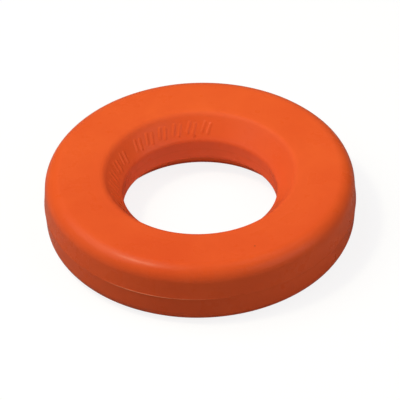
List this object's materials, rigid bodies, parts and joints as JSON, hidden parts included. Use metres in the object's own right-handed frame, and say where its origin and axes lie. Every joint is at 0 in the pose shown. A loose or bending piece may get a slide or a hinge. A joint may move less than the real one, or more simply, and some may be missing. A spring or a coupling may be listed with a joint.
{
  "type": "flying ring",
  "caption": "Chunky soft ring with a bevelled hole, thrown and caught or tossed over a peg in lawn games.",
  "frame": {"origin": "centre of the bore on the joint plane, halfway between the two flat faces", "axes": "+Z along the ring's own axis, through the face that carries the vent plug; +Y towards the vent plug's side; +X to the right of it seen from above"},
  "size_m": [0.1804, 0.1804, 0.0386],
  "materials": {
    "shell": "moulded soft PVC, smooth matt with a faint sheen",
    "weld_bead": "weld flash of the same soft PVC, slightly darker",
    "foam_core": "closed-cell foam, fine cells",
    "hoop": "natural polypropylene sheet",
    "vent_plug": "soft plug of the same orange plastic, matt"
  },
  "bodies": {
    "root": {"upper_shell": "shell", "lower_shell": "shell", "outer_weld_bead": "weld_bead", "bore_weld_bead": "weld_bead", "upper_core": "foam_core", "lower_core": "foam_core", "stiffening_hoop": "hoop", "vent_plug": "vent_plug"}
  },
  "joints": []
}
